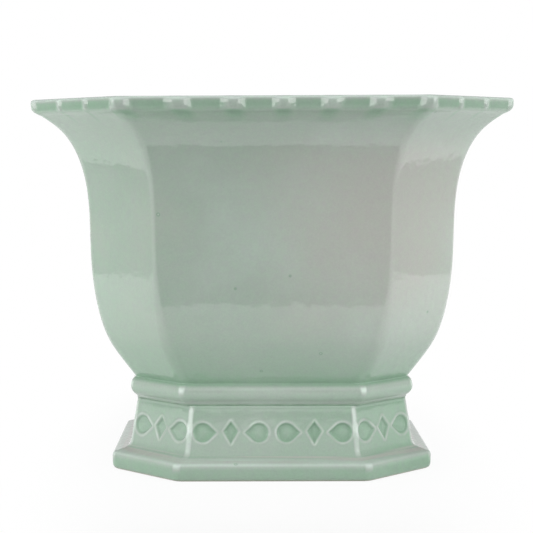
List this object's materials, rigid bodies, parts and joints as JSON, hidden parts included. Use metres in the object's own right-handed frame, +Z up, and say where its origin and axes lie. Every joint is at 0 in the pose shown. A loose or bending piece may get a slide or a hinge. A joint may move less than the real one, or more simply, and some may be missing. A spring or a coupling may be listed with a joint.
{
  "type": "octagonal planter",
  "caption": "Glazed ceramic planter: flared octagonal bowl with a scalloped rim on a low pedestal with a stamped frieze, and a drain plug that lifts out.",
  "frame": {"origin": "on the table, under the middle of the planter", "axes": "+Z up along the planter's axis; the front wide face looks along -Y"},
  "size_m": [0.305, 0.305, 0.241],
  "materials": {
    "celadon_glaze": "glossy pale celadon glaze",
    "slip": "fired slip under pooled glaze",
    "plug_rubber": "matt moulded rubber",
    "pad_felt": "pressed felt"
  },
  "bodies": {
    "planter": {"bowl": "celadon_glaze", "pedestal": "celadon_glaze", "luting_seam": "slip", "foot_pad_1": "pad_felt", "foot_pad_2": "pad_felt", "foot_pad_3": "pad_felt", "foot_pad_4": "pad_felt"},
    "plug": {"drain_plug": "plug_rubber"}
  },
  "joints": [
    {"name": "plug_lift", "type": "slide", "parent": "planter", "child": "plug", "axis": [0, 0, 1], "range_m": [0, 0.2]}
  ]
}
